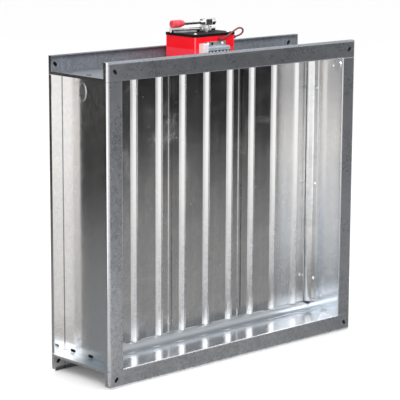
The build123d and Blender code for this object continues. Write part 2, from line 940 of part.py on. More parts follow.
def return_spring():
    """Closing spring between the piston and the shoulder, as a ridged sleeve."""
    left = piston_left() + piston_width
    right = -bar_left - piston_rest_gap - shoulder_width
    inner = stem_radius + 2 * stem_gap
    outer = barrel_radius - barrel_wall - 2 * piston_gap
    pitch = (right - left) / spring_turns
    outline = [(left, inner)]
    for k in range(spring_turns):
        start = left + k * pitch
        groove = (start + pitch / 2, outer - spring_wire / 2)
        outline += [(start, outer), (start + spring_wire, outer), groove]
    outline += [(right, outer), (right, inner)]
    sleeve = revolve(polygon(outline), Axis.X)
    return turned(Pos(0, bar_offset, barrel_level) * sleeve)


def barrel_rails():
    """Two rails on the plate, hollowed to cradle the barrel."""
    rails = []
    round_bar = bar_x(-barrel_left, 0, bar_offset, barrel_level, barrel_radius)
    for side in (-1, 1):
        y0, y1 = sorted((bar_offset + side * rail_inner, bar_offset + side * rail_outer))
        rail = block(-rail_left, -rail_right, y0, y1, plate_top, plate_top + rail_height)
        rails.append(solid_of(turned(rail - round_bar)))
    return Compound(children=rails)


# Switches


def cam(z0, lobe_angle):
    """Disc with a rounded lobe that reaches the switch's button."""
    reach = cam_radius + cam_lobe
    outline = Circle(cam_radius) + Rot(0, 0, lobe_angle) * Pos(reach - cam_nose, 0) * Circle(cam_nose)
    disc = upright(Pos(drive_x, axis_back) * outline, z0, z0 + cam_thick)
    return solid_of(disc - post(drive_x, axis_back, z0 - overcut, z0 + cam_thick + overcut, pivot_radius))


def switch_level(i):
    return cam_low + i * switch_step


def switch_cams():
    """One lobe faces its button when the blades are shut, the other when they are open."""
    return Compound(children=[cam(switch_level(0), 0), cam(switch_level(1), drive_angle)])


def switch_body(i):
    middle_level = switch_level(i) + cam_thick / 2
    low, high = middle_level - switch_thick / 2, middle_level + switch_thick / 2
    half = switch_length / 2
    body = block(switch_face, switch_face + switch_deep, axis_back - half, axis_back + half, low, high)
    hole_end = switch_face + button_seat + button_travel + button_gap
    hole_radius = button_radius + running_gap
    body -= bar_x(switch_face - overcut, hole_end, axis_back, middle_level, hole_radius)
    return fillet(body.edges().filter_by(Axis.X), switch_round)


def switch_button(i):
    tip = switch_face - button_reach
    level = switch_level(i) + cam_thick / 2
    return bar_x(tip, switch_face + button_seat, axis_back, level, button_radius)


def switch_bracket():
    back = switch_face + switch_deep
    half = switch_length / 2
    top = switch_level(1) + cam_thick / 2 + switch_thick / 2
    upright_leaf = block(back, back + bracket_sheet, axis_back - half, axis_back + half, deck_high, top)
    foot = block(
        back - bracket_foot, back + bracket_sheet, axis_back - half, axis_back + half,
        deck_high, deck_high + bracket_sheet,
    )
    return upright_leaf + foot


# Terminals and lead


def terminal_x():
    first = drive_x - terminal_left
    room_left = terminal_left + terminal_right - (terminal_ways - 1) * terminal_pitch
    return [first + room_left / 2 + i * terminal_pitch for i in range(terminal_ways)]


def terminal_block():
    """Clamp block with a divider notch between ways."""
    front = house_y0 - terminal_deep
    low, high = roof + terminal_split, roof + terminal_top
    body = block(drive_x - terminal_left, drive_x + terminal_right, front, house_y0, low, high)
    body = chamfer(edges_where(body, lambda c: near(c.Y, front) and near(c.Z, high)), terminal_step)
    for x in terminal_x()[1:]:
        split = x - terminal_pitch / 2
        left, right = split - terminal_notch / 2, split + terminal_notch / 2
        body -= block(left, right, front - overcut, front + terminal_notch, low - overcut, high + overcut)
    return body


def terminal_base():
    """Dark foot of the terminal block, set back below it."""
    front = house_y0 - terminal_deep + terminal_step / 2
    return block(
        drive_x - terminal_left, drive_x + terminal_right, front, house_y0, roof + terminal_bottom,
        roof + terminal_split,
    )


def terminal_screws():
    """Slotted clamp screws, and the domed ones that hold the zinc strip."""
    front = house_y0 - terminal_deep + terminal_step / 2
    level = roof + terminal_split - terminal_screw_radius - terminal_screw_rise
    heads = []
    for x in terminal_x():
        head = bar_y(x, front - terminal_screw_rise, front, level, terminal_screw_radius)
        slot = block(
            x - terminal_screw_slot / 2, x + terminal_screw_slot / 2, front - terminal_screw_rise,
            front - terminal_screw_rise / 2, level - terminal_screw_radius, level + terminal_screw_radius,
        )
        heads.append(solid_of(head - slot))
    seat = house_y0 - plate_strip_sheet
    for x in strip_screw_x():
        head = dome(plate_screw_radius, plate_screw_rise)
        heads.append(Pos(x, seat, strip_level()) * Rot(90, 0, 0) * head)
    return Compound(children=heads)


def end_block():
    """Pale end piece beside the terminal block."""
    right = drive_x - terminal_left
    front = house_y0 - terminal_deep
    low, high = roof + end_block_bottom, roof + end_block_top
    body = block(right - end_block_width, right, front, house_y0, low, high)
    return chamfer(edges_where(body, lambda c: near(c.Y, front)), terminal_step / 2)


def strip_level():
    return base_top + plate_strip_rise + plate_strip_height / 2


def strip_screw_x():
    return drive_x - terminal_left + plate_screw_inset, drive_x + terminal_right - plate_screw_inset


def terminal_strip():
    """Zinc strip above the terminals, with a wire hole."""
    low = base_top + plate_strip_rise
    strip = block(
        drive_x - terminal_left, drive_x + terminal_right, house_y0 - plate_strip_sheet, house_y0,
        low, low + plate_strip_height,
    )
    strip = fillet(strip.edges().filter_by(Axis.Y), plate_strip_sheet)
    hole = drive_x - plate_hole_left
    front, back = house_y0 - plate_strip_sheet, house_y0
    return strip - bar_y(hole, front - overcut, back + overcut, strip_level(), plate_hole_radius)


def lead():
    """Round lead along straight runs joined by the largest tangent arcs."""
    runs = [b - a for a, b in zip(lead_points, lead_points[1:])]
    radii = []
    for before, after in zip(runs, runs[1:]):
        half_turn = radians(before.get_angle(after)) / 2
        radii.append(lead_bend_share * min(before.length, after.length) / tan(half_turn))
    path = FilletPolyline(*lead_points, radius=radii)
    print("lead radii", [round(r, 1) for r in radii], "length", round(path.length, 1))
    start = Plane(origin=lead_points[0], z_dir=runs[0])
    return sweep(start * Circle(lead_radius), path=path)


def lead_bosses():
    start, end = lead_points[0], lead_points[-1]
    front = bar_y(start.X, house_y0 - boss_reach, house_y0, start.Z, boss_radius)
    side = bar_x(house_x1, house_x1 + boss_reach, end.Y, end.Z, boss_radius)
    return Compound(children=[solid_of(front), solid_of(side)])


os.makedirs("parts", exist_ok=True)

save("casing_bottom", bottom_panel())
save("casing_top", top_panel())
save("casing_left", left_panel())
save("casing_right", mirror(side_panel(), about=Plane.YZ))
save("wall_plug", wall_plug())
save("sill_bottom", sill(bow_height))
save("sill_top", mirror(sill(head_height), about=Plane.XY.offset(middle)))
save("jamb_right", jamb())
save("jamb_left", mirror(jamb(), about=Plane.YZ))
save("jamb_rivets", jamb_rivets())

for i, x in enumerate(blade_places):
    number = i + 1
    save(f"blade_{number}", blade(x))
    save(f"lower_pivot_{number}", lower_pivot(x))
    save(f"crank_{number}", crank(x))
    if i > 0:
        save(f"seam_strip_{number}", seam_strip(x))
    if i == drive_index:
        save("drive_shaft", upper_pivot(x, hub_high))
    else:
        save(f"upper_pivot_{number}", upper_pivot(x, crank_high + crank_gap))
save("lower_bushes", Compound(children=[lower_bush(x) for x in blade_places]))
save("upper_bushes", Compound(children=[upper_bush(x) for x in blade_places]))
save("tie_bar", tie_bar())

save("housing_base", housing_base())
save("housing_cover", housing_cover())
save("top_plate", top_plate())
save("mount_screws", mount_screws())
save("cover_screws", cover_screws())

save("lever_hub", lever_hub())
save("hub_bolt", hub_bolt())
save("lever_rod", lever_rod())
save("rod_nut", rod_nut())
save("lever_grip", lever_grip())

save("sector_gear", sector_gear())
save("motor_pinion", motor_pinion())
save("motor_plate", motor_plate())
save("gear_motor", gear_motor())

save("return_pinion", return_pinion())
save("spring_barrel", spring_barrel())
save("return_rack", return_rack())
save("rack_piston", rack_piston())
save("return_spring", return_spring())
save("barrel_rails", barrel_rails())

save("switch_cams", switch_cams())
for i, name in enumerate(("shut_switch", "open_switch")):
    save(name, switch_body(i))
    save(f"{name}_button", switch_button(i))
save("switch_bracket", switch_bracket())

save("terminal_block", terminal_block())
save("terminal_base", terminal_base())
save("terminal_screws", terminal_screws())
save("end_block", end_block())
save("terminal_strip", terminal_strip())
save("lead", lead())
save("lead_bosses", lead_bosses())
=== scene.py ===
import bmesh
import bpy
import json
import math
from mathutils import Matrix, Vector


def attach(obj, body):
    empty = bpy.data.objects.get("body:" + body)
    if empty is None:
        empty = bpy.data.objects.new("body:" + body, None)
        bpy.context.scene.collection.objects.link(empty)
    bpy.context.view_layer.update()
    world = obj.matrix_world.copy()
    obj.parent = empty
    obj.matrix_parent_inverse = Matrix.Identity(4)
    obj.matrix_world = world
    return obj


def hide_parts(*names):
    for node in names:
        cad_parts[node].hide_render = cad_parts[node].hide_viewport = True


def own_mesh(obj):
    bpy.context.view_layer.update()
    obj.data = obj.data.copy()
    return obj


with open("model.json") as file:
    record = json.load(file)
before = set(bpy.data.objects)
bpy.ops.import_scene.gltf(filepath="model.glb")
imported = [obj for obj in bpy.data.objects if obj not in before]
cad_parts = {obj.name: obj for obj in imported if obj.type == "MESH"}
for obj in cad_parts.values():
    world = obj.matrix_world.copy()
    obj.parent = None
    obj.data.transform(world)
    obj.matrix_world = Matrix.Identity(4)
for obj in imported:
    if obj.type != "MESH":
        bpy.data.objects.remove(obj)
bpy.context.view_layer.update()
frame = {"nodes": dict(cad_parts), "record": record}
nodes = frame["nodes"]
print("frame loaded:", len(nodes), "nodes")


# shader helpers

class Sock:  # an output socket that takes Python maths
    def __init__(self, tree, out):
        self.tree = tree
        self.out = out

    def maths(self, operation, a, b):
        node = self.tree.nodes.new("ShaderNodeMath")
        node.operation = operation
        feed(self.tree, node.inputs[0], a)
        feed(self.tree, node.inputs[1], b)
        return Sock(self.tree, node.outputs[0])

    def __add__(self, other):
        return self.maths("ADD", self, other)

    def __radd__(self, other):
        return self.maths("ADD", other, self)

    def __sub__(self, other):
        return self.maths("SUBTRACT", self, other)

    def __rsub__(self, other):
        return self.maths("SUBTRACT", other, self)

    def __mul__(self, other):
        return self.maths("MULTIPLY", self, other)

    def __rmul__(self, other):
        return self.maths("MULTIPLY", other, self)


def feed(tree, socket, value):
    if isinstance(value, Sock):
        tree.links.new(value.out, socket)
    else:
        socket.default_value = value


class Finish:  # one material and its nodes
    def __init__(self, name):
        self.material = bpy.data.materials.new(name)
        self.material.use_nodes = True
        self.tree = self.material.node_tree
        self.tree.nodes.clear()
        self.place = self.node("TexCoord", out="Object")

    def node(self, kind, settings=None, sockets=None, out=0):
        node = self.tree.nodes.new("ShaderNode" + kind)
        for key, value in (settings or {}).items():
            setattr(node, key, value)
        for key, value in (sockets or {}).items():
            feed(self.tree, node.inputs[key], value)
        return Sock(self.tree, node.outputs[out]) if node.outputs else None

    def stretched(self, scale):  # object coordinates, stretched
        return self.node("Mapping", sockets={"Vector": self.place, "Scale": scale})

    def noise(self, scale, detail=3.0, rough=0.55, at=None, warp=0.0):
        return self.node("TexNoise", sockets={
            "Vector": at or self.place, "Scale": scale, "Detail": detail, "Roughness": rough,
            "Distortion": warp})

    def cells(self, size, out, at=None):  # crystal cells of about that size in metres
        return self.node("TexVoronoi", sockets={"Vector": at or self.place, "Scale": 1 / size}, out=out)

    def spangle(self, size, at=None):  # one grey for each flake
        return self.node("SeparateColor", sockets={"Color": self.cells(size, "Color", at)})

    def specks(self, size, share):  # scattered dots, 1 inside
        return self.span(self.cells(size, "Distance"), share, share * 0.6)

    def span(self, value, low, high, to=(0.0, 1.0)):  # clamped smooth step
        return self.node("MapRange", {"interpolation_type": "SMOOTHSTEP"}, {
            "Value": value, "From Min": low, "From Max": high, "To Min": to[0], "To Max": to[1]})

    def beyond(self, value, low, high):  # smooth step of the distance from the middle, either way
        return self.span(value * value, low ** 2, high ** 2)

    def axis(self, name):  # one coordinate of the place, in metres
        return self.node("SeparateXYZ", sockets={"Vector": self.place}, out=name)

    def blend(self, factor, a, b):  # colour a where factor is 0, b where it is 1
        a, b = ((*c, 1) if isinstance(c, tuple) else c for c in (a, b))
        return self.node("Mix", {"data_type": "RGBA"}, {0: factor, 6: a, 7: b}, out=2)

    def shade(self, base, rough, height=None, depth=0.0002, **sockets):
        colour = (*base, 1) if isinstance(base, tuple) else base
        inputs = {"Base Color": colour, "Roughness": rough, **sockets}
        if height is not None:
            bump = {"Height": height, "Distance": depth, "Strength": 1.0}
            inputs["Normal"] = self.node("Bump", sockets=bump)
        shader = self.node("BsdfPrincipled", sockets=inputs)
        self.node("OutputMaterial", sockets={"Surface": shader})
        return self.material


# sheet metal

casingZinc = {
    "pale": (0.955, 0.94, 0.925),
    "dull": (0.88, 0.875, 0.87),
    "rough": 0.15,
    "shine": 0.1,
    "flake": 0.0032,
    "soft": 0.0004,  # width of most edges between zones
    "scuff": (0.86, 0.87, 0.88),
    "faceStart": 0.0738,  # flange faces, painted darker than the web and darker toward the top and the right: painted shade
    "faceEnd": 0.0747,
    "facePale": (0.74, 0.75, 0.775),
    "faceDull": (0.53, 0.545, 0.575),
    "faceShade": (0.34, 0.355, 0.385),
    "faceFade": (0.02, 0.52),
    "faceAside": (0.0, 0.30),
    "faceRough": 0.30,
    "roofAt": 0.4908,  # top panel and what stands on it, painted dark slate: painted shade
    "roofSoft": 0.0005,
    "endAt": 0.2785,
    "roofPale": (0.27, 0.29, 0.325),
    "roofDull": (0.17, 0.185, 0.21),
    "roofRough": 0.30,
    "roofMatte": 0.88,
    "floorOver": (0.0325, 0.0305),  # bottom panel, inside and as a ledge outside; its cool blue-grey tint is a painted reflection
    "floorUnder": (0.0283, 0.0295),
    "floorTint": (0.78, 0.84, 0.91),
    "floorDust": 0.18,
    # ledge outside: painted shade, darker toward the front
    "ledgeShade": (0.30, 0.35, 0.40),
    "ledgeFade": (0.048, 0.0),
    "ledgeRough": 0.16,
    "wallAt": 0.2508,  # side walls; their outside is painted darker toward the bottom and the front: painted shade
    "wallSpan": (0.2533, 0.2523),
    "wallShade": (0.60, 0.64, 0.68),
    "wallFade": (0.42, 0.04),
    "wallAside": (0.045, 0.0),
    "wallRough": 0.015,
    # inner wall faces: painted bluish reflection toward the bottom
    "innerSpan": (0.2458, 0.2498),
    "innerCast": (0.86, 0.905, 0.955),
    "innerFade": (0.36, 0.12),
    "foldSide": 0.2526,  # painted shade in the fold between wall and flange
    "foldAt": 0.0726,
    "foldShade": (0.30, 0.30, 0.32),
    "padAt": (0.020, 0.464),  # oval pad on the left wall, painted dark: painted shade
    "padHalf": (0.0085, 0.0145),
    "padSide": (-0.2505, -0.2520),
    "padShade": (0.20, 0.21, 0.23),
    "padRough": 0.15,
}


def makeCasingZinc():
    z = casingZinc
    f = Finish("casing_zinc")
    jitter = f.node("TexNoise", sockets={"Vector": f.place, "Scale": 220.0}, out="Color")
    warped = f.node("Mix", {"data_type": "VECTOR"}, {0: 0.012, 4: f.place, 5: jitter}, out=1)
    flake = f.spangle(z["flake"], warped)
    cloud = f.noise(14.0, 5.0, 0.6)
    grain = f.noise(900.0, 2.0)
    mottle = f.noise(150.0, 4.0, 0.65)
    mix = f.span(flake * 0.2 + cloud * 0.35 + mottle * 0.6, 0.38, 0.78)
    along, across, level = f.axis("X"), f.axis("Y"), f.axis("Z")
    soft = z["soft"]
    face = f.beyond(across, z["faceStart"], z["faceEnd"])
    outside = f.beyond(along, z["wallAt"], z["wallAt"] + soft)
    web = f.blend(mix, z["dull"], z["pale"])
    # outside of the walls: painted shade, darker toward the bottom and the front
    low = f.span(level, *z["wallFade"]) * f.span(across, *z["wallAside"])
    web = f.blend(outside * low * 0.55, web, z["wallShade"])
    # inner wall faces: painted bluish reflection, stronger toward the bottom
    inner = f.beyond(along, *z["innerSpan"]) * (1 - outside)
    web = f.blend(inner * f.span(level, *z["innerFade"]) * 0.9, web, z["innerCast"])
    # top panel and upper inner flange faces: painted shade, dark slate with less metal
    roof = f.span(level, z["roofAt"], z["roofAt"] + z["roofSoft"])
    roof = roof * f.beyond(along, z["endAt"], z["endAt"] - soft)
    web = f.blend(roof, web, f.blend(mix, z["roofDull"], z["roofPale"]))
    # flange faces: a darker copy of the same zinc, painted shade, darker toward the top and the right
    flange = f.blend(mix, z["faceDull"], z["facePale"])
    flange = f.blend(f.span(level, *z["faceFade"]) * (0.70 + 0.25 * mottle), flange, z["faceShade"])
    flange = f.blend(f.span(along, *z["faceAside"]) * 0.45, flange, z["faceShade"])
    colour = f.blend(face, web, flange)
    colour = f.blend(f.specks(0.011, 0.12) * 0.15, colour, z["scuff"])
    # oval pad: painted shade
    u = (across - z["padAt"][0]) * (1 / z["padHalf"][0])
    v = (level - z["padAt"][1]) * (1 / z["padHalf"][1])
    pad = f.span(u * u + v * v, 1.6, 0.8) * f.span(along, *z["padSide"])
    colour = f.blend(pad * 0.75, colour, z["padShade"])
    # painted shade in the fold between wall and flange
    fold = f.beyond(across, z["foldAt"] - soft, z["foldAt"]) * (1 - face)
    fold = fold * f.beyond(along, z["foldSide"] + soft, z["foldSide"])
    fold = fold * f.beyond(along, z["wallAt"] - soft, z["wallAt"])
    colour = f.blend(fold * 0.65, colour, z["foldShade"])
    # bottom panel band: painted cool blue-grey reflection; a dust haze lowers its metal
    lowerBand = f.span(level, *z["floorOver"]) * f.span(level, *z["floorUnder"]) * (1 - face)
    colour = f.blend(lowerBand * 0.8, colour, z["floorTint"])
    # outer ledge: painted shade, darker toward the front
    ledge = lowerBand * outside
    colour = f.blend(ledge * f.span(across, *z["ledgeFade"]) * 0.85, colour, z["ledgeShade"])
    wall = outside * f.beyond(along, *z["wallSpan"]) * (1 - face) * (1 - roof)
    rough = z["rough"] + face * (z["faceRough"] - z["rough"]) + roof * (1 - face) * z["roofRough"]
    rough = rough + wall * z["wallRough"] * (0.4 + 1.2 * mottle)
    rough = rough + ledge * z["ledgeRough"] + pad * z["padRough"]
    rough = rough + 0.06 * (flake - 0.5) + 0.10 * (cloud - 0.5)
    metal = 1 - lowerBand * z["floorDust"] * (0.7 + 0.6 * cloud) - roof * (1 - face) * z["roofMatte"]
    return f.shade(colour, rough, mottle * 0.6 + grain * 0.3, 0.00002, Metallic=metal,
                   **{"Specular IOR Level": z["shine"]})


bladeZinc = {
    "pale": (0.83, 0.815, 0.80),
    "dull": (0.68, 0.68, 0.69),
    "rough": 0.12,
    "flake": 0.003,
    # dark colour toward the top of the flats: painted dark reflection
    "high": (0.22, 0.225, 0.24),
    "highFade": (0.30, 0.46),
    # rib crests: painted highlight
    "ribHighlight": (0.97, 0.965, 0.955),
    "ribStart": 0.0025,
    "ribCrest": 0.0,
    # ribs low down: painted shade
    "ribLowShade": (0.70, 0.70, 0.735),
    "ribLowTop": (0.31, 0.13),
    "ribLowEnd": (0.055, 0.085),
    "speck": (0.88, 0.88, 0.88),
    "wiped": (0.86, 0.86, 0.87),
}


def makeBladeZinc():
    z = bladeZinc
    f = Finish("blade_zinc")
    streak = f.noise(1.0, 4.0, 0.6, f.stretched((90.0, 90.0, 3.0)))
    smear = f.noise(16.0, 5.0, 0.62, warp=0.6)
    flake = f.spangle(z["flake"])
    grain = f.noise(1100.0, 2.0)
    level = f.axis("Z")
    ribHighlight = f.span(f.axis("Y"), z["ribStart"], z["ribCrest"])
    mix = f.span(streak * 0.5 + smear * 0.6 + flake * 0.2, 0.4, 0.95)
    colour = f.blend(mix, z["dull"], z["pale"])
    # flats: painted dark reflection, darker toward the top
    colour = f.blend(f.span(level, *z["highFade"]) * (0.35 + 0.5 * smear), colour, z["high"])
    # rib crests: painted highlight
    colour = f.blend(ribHighlight * 0.9, colour, z["ribHighlight"])
    # ribs: painted shade, darker toward the bottom but not at the very bottom
    low = f.span(level, *z["ribLowTop"]) * f.span(level, *z["ribLowEnd"])
    colour = f.blend(ribHighlight * low * (0.5 + 0.6 * flake), colour, z["ribLowShade"])
    speck = f.specks(0.019, 0.06)
    colour = f.blend(speck * 0.25, colour, z["speck"])
    wiped = f.noise(1.0, 5.0, 0.66, f.stretched((9.0, 9.0, 5.0)), 1.4)
    wiped = f.span(wiped, 0.50, 0.66) * (1 - ribHighlight)  # wiped patches, paler and rougher
    colour = f.blend(wiped * 0.35, colour, z["wiped"])
    rough = z["rough"] + wiped * 0.10 + 0.26 * (smear - 0.42) + 0.05 * streak
    rough = rough + speck * 0.2 + ribHighlight * 0.08
    return f.shade(colour, rough, grain + streak * 0.5, 0.00003, Metallic=1.0)


sealZinc = {
    "pale": (0.90, 0.90, 0.895),
    "dull": (0.72, 0.73, 0.735),
    # sills, below 45 mm: painted shade
    "sill": (0.40, 0.43, 0.47),
    "sillRough": 0.24,
    "sillTop": 0.045,
    "sillSoft": 0.001,
    "rough": 0.16,
}


def makeSealZinc():
    f = Finish("seal_zinc")
    streak = f.noise(1.0, 4.0, 0.6, f.stretched((6.0, 120.0, 120.0)))
    smear = f.noise(22.0, 4.0)
    colour = f.blend(f.span(streak * 0.6 + smear * 0.5, 0.35, 0.8), sealZinc["dull"], sealZinc["pale"])
    top, soft = sealZinc["sillTop"], sealZinc["sillSoft"]
    # sills: painted shade, darker below 45 mm
    low = f.span(f.axis("Z"), top + soft, top - soft)
    colour = f.blend(low * (0.7 + 0.3 * streak), colour, sealZinc["sill"])
    rough = sealZinc["rough"] + 0.18 * (smear - 0.4) + low * sealZinc["sillRough"]
    return f.shade(colour, rough, streak, 0.00003, Metallic=1.0)


# turned and plated pieces

platedSteel = {"pale": (0.92, 0.925, 0.92), "dull": (0.68, 0.70, 0.71), "rough": 0.30}


def makePlatedSteel():
    f = Finish("plated_steel")
    cloud = f.noise(90.0, 4.0)
    grain = f.noise(1500.0, 2.0)
    colour = f.blend(f.span(cloud, 0.3, 0.7), platedSteel["dull"], platedSteel["pale"])
    rough = platedSteel["rough"] + 0.2 * (cloud - 0.5) + 0.06 * grain
    return f.shade(colour, rough, grain, 0.00003, Metallic=1.0)


polishedSteel = {"bright": (0.90, 0.90, 0.90), "grey": (0.66, 0.67, 0.68), "rough": 0.13}


def makePolishedSteel():
    f = Finish("polished_steel")
    cloud = f.noise(60.0, 3.0)
    lines = f.noise(1.0, 2.0, 0.5, f.stretched((40.0, 40.0, 2600.0)))
    colour = f.blend(f.span(cloud, 0.35, 0.7), polishedSteel["grey"], polishedSteel["bright"])
    rough = polishedSteel["rough"] + 0.1 * cloud + 0.05 * lines
    return f.shade(colour, rough, lines, 0.00001, Metallic=1.0)


bearingBrass = {"bright": (0.80, 0.62, 0.27), "tarnish": (0.42, 0.29, 0.11), "rough": 0.28}


def makeBearingBrass():
    f = Finish("bearing_brass")
    cloud = f.noise(160.0, 4.0)
    colour = f.blend(f.span(cloud, 0.35, 0.65), bearingBrass["tarnish"], bearingBrass["bright"])
    return f.shade(colour, bearingBrass["rough"] + 0.2 * cloud, cloud, 0.00003, Metallic=1.0)


motorCan = {"pale": (0.66, 0.67, 0.69), "dull": (0.45, 0.46, 0.48), "rough": 0.35}


def makeMotorCan():
    f = Finish("motor_can")
    cloud = f.noise(120.0, 4.0)
    lines = f.noise(1.0, 2.0, 0.5, f.stretched((60.0, 60.0, 3000.0)))
    colour = f.blend(f.span(cloud, 0.3, 0.7), motorCan["dull"], motorCan["pale"])
    return f.shade(colour, motorCan["rough"] + 0.15 * (cloud - 0.5), lines, 0.00002, Metallic=1.0)


# paint and plastic

redEnamel = {
    "base": (0.98, 0.008, 0.022),
    "dark": (0.93, 0.006, 0.016),
    "rough": 0.5,
    "shine": 0.12,
    "lowerBand": (0.98, 0.06, 0.09),  # paler red on the base, below the split with the cover
    "split": 0.5210,
    "splitSoft": 0.0004,
    "edge": (0.97, 0.24, 0.27),  # upright edges, paler: a painted highlight along the corners, with some rubbed paint
    "middle": (-0.0095, 0.010),
    "half": (0.0445, 0.036),
    "corner": (0.90, 0.94),
    "chip": (0.34, 0.20, 0.20),
}


def makeRedEnamel():
    r = redEnamel
    f = Finish("red_enamel")
    cloud = f.noise(45.0, 4.0)
    peel = f.noise(700.0, 2.0)
    colour = f.blend(f.span(cloud, 0.3, 0.75), r["dark"], r["base"])
    low = f.span(f.axis("Z"), r["split"] + r["splitSoft"], r["split"] - r["splitSoft"])
    colour = f.blend(low * (0.55 + 0.3 * cloud), colour, r["lowerBand"])
    # upright corners: painted highlight, with some rubbed paint
    u = (f.axis("X") - r["middle"][0]) * (1 / r["half"][0])
    v = (f.axis("Y") - r["middle"][1]) * (1 / r["half"][1])
    corner = f.span(u * u * v * v, *r["corner"])
    colour = f.blend(corner * (0.35 + 0.5 * cloud), colour, r["edge"])
    chip = f.specks(0.009, 0.08) * f.span(f.noise(70.0), 0.52, 0.64)
    colour = f.blend(chip * 0.6, colour, r["chip"])
    rough = r["rough"] + 0.14 * (cloud - 0.5) + chip * 0.3
    return f.shade(colour, rough, peel - chip * 0.5, 0.00003, **{"Specular IOR Level": r["shine"]})


blackEnamel = {"base": (0.008, 0.008, 0.010), "worn": (0.026, 0.026, 0.030), "rough": 0.55, "shine": 0.05}


def makeBlackEnamel():
    f = Finish("black_enamel")
    cloud = f.noise(60.0, 4.0)
    peel = f.noise(900.0, 2.0)
    colour = f.blend(f.span(cloud, 0.45, 0.8), blackEnamel["base"], blackEnamel["worn"])
    rough = blackEnamel["rough"] + 0.2 * (cloud - 0.5)
    return f.shade(colour, rough, peel, 0.00004, **{"Specular IOR Level": blackEnamel["shine"]})


tinnedScrew = {"bright": (0.95, 0.95, 0.96), "grey": (0.80, 0.81, 0.83), "rough": 0.35, "metal": 0.35}


def makeTinnedScrew():
    f = Finish("tinned_screw")
    cloud = f.noise(400.0, 3.0)
    colour = f.blend(f.span(cloud, 0.3, 0.6), tinnedScrew["grey"], tinnedScrew["bright"])
    rough = tinnedScrew["rough"] + 0.2 * cloud
    return f.shade(colour, rough, cloud, 0.00003, Metallic=tinnedScrew["metal"])


def makePlastic(name, look):  # moulded plastic with a fine grain and handling marks
    f = Finish(name)
    cloud = f.noise(110.0, 4.0)
    grain = f.noise(1800.0, 2.0)
    colour = f.blend(f.span(cloud, 0.35, 0.75), look["base"], look["worn"])
    rough = look["rough"] + 0.18 * (cloud - 0.5) + 0.06 * grain
    return f.shade(colour, rough, grain, 0.00003)


plastics = {
    "red_plastic": {"base": (0.64, 0.035, 0.055), "worn": (0.82, 0.10, 0.13), "rough": 0.36},
    "switch_black": {"base": (0.018, 0.018, 0.02), "worn": (0.05, 0.05, 0.05), "rough": 0.5},
    "button_red": {"base": (0.55, 0.03, 0.03), "worn": (0.68, 0.08, 0.06), "rough": 0.35},
    "terminal_grey": {"base": (0.30, 0.36, 0.44), "worn": (0.42, 0.48, 0.55), "rough": 0.45},
    "terminal_dark": {"base": (0.035, 0.03, 0.05), "worn": (0.09, 0.08, 0.11), "rough": 0.5},
    "terminal_pale": {"base": (0.86, 0.72, 0.74), "worn": (0.94, 0.88, 0.88), "rough": 0.5},
    "lead_red": {"base": (0.17, 0.016, 0.028), "worn": (0.26, 0.05, 0.06), "rough": 0.42},
}

finishes = {
    "casing_zinc": makeCasingZinc(),
    "blade_zinc": makeBladeZinc(),
    "seal_zinc": makeSealZinc(),
    "plated_steel": makePlatedSteel(),
    "polished_steel": makePolishedSteel(),
    "bearing_brass": makeBearingBrass(),
    "motor_can": makeMotorCan(),
    "red_enamel": makeRedEnamel(),
    "black_enamel": makeBlackEnamel(),
}
for name, look in plastics.items():
    finishes[name] = makePlastic(name, look)
print("finishes made:", len(finishes))

for part in frame["record"]["subparts"]:
    mesh = nodes[part["node"]].data
    mesh.materials.clear()
    mesh.materials.append(finishes[part["material_slot"]])
nodes["terminal_screws"].data.materials[0] = makeTinnedScrew()
nodes["wall_plug"].data.materials[0] = finishes["seal_zinc"]


# mesh pieces on the fixed frame

def bridge(shape, rings):
    for near, far in zip(rings, rings[1:]):
        for i in range(len(near)):
            j = (i + 1) % len(near)
            shape.faces.new((near[i], near[j], far[j], far[i]))


def setPiece(name, shape, finish, smooth=False):
    bmesh.ops.recalc_face_normals(shape, faces=shape.faces)
    for side in shape.faces:
        side.smooth = smooth
    mesh = bpy.data.meshes.new(name)
    shape.to_mesh(mesh)
    shape.free()
    mesh.materials.append(finishes[finish])
    piece = bpy.data.objects.new(name, mesh)
    bpy.context.collection.objects.link(piece)
    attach(piece, "frame")
    return piece


# dark sheets in the slots of the flange corners and low on the left wall: painted shadow in the slots

cornerSlotShades = {
    "across": 0.265,
    "levels": (0.015, 0.505),
    "front": 0.0746,
    "length": 0.0096,
    "width": 0.0056,
    "lean": 45,
}
wallSlotShades = {
    "alongs": (-0.0400, 0.0060, 0.0520),
    "level": 0.0335,
    "front": 0.2511,
    "length": 0.0131,
    "width": 0.0051,
}
slotShadeShape = {"thick": 0.0006, "crown": 0.0002, "crownScale": 0.8, "arcSteps": 10}


# a dark sheet that stands for the shadow inside a slot
def makeSlotShade(name, middle, longways, outward, look):
    sideways = outward.cross(longways)
    run = (look["length"] - look["width"]) / 2
    radius = look["width"] / 2
    steps = slotShadeShape["arcSteps"]
    spokes = []
    for end in (1, -1):
        for step in range(steps + 1):
            angle = math.pi * (step / steps - 0.5)
            u, v = run + radius * math.cos(angle), radius * math.sin(angle)
            spokes.append(end * (longways * u + sideways * v))
    levels = ((1.0, -slotShadeShape["thick"]), (1.0, 0.0), (slotShadeShape["crownScale"], slotShadeShape["crown"]))
    plug = bmesh.new()
    rings = [[plug.verts.new(middle + spoke * scale + outward * rise) for spoke in spokes]
             for scale, rise in levels]
    bridge(plug, rings)
    plug.faces.new(rings[0])
    plug.faces.new(rings[-1])
    setPiece(name, plug, "black_enamel")


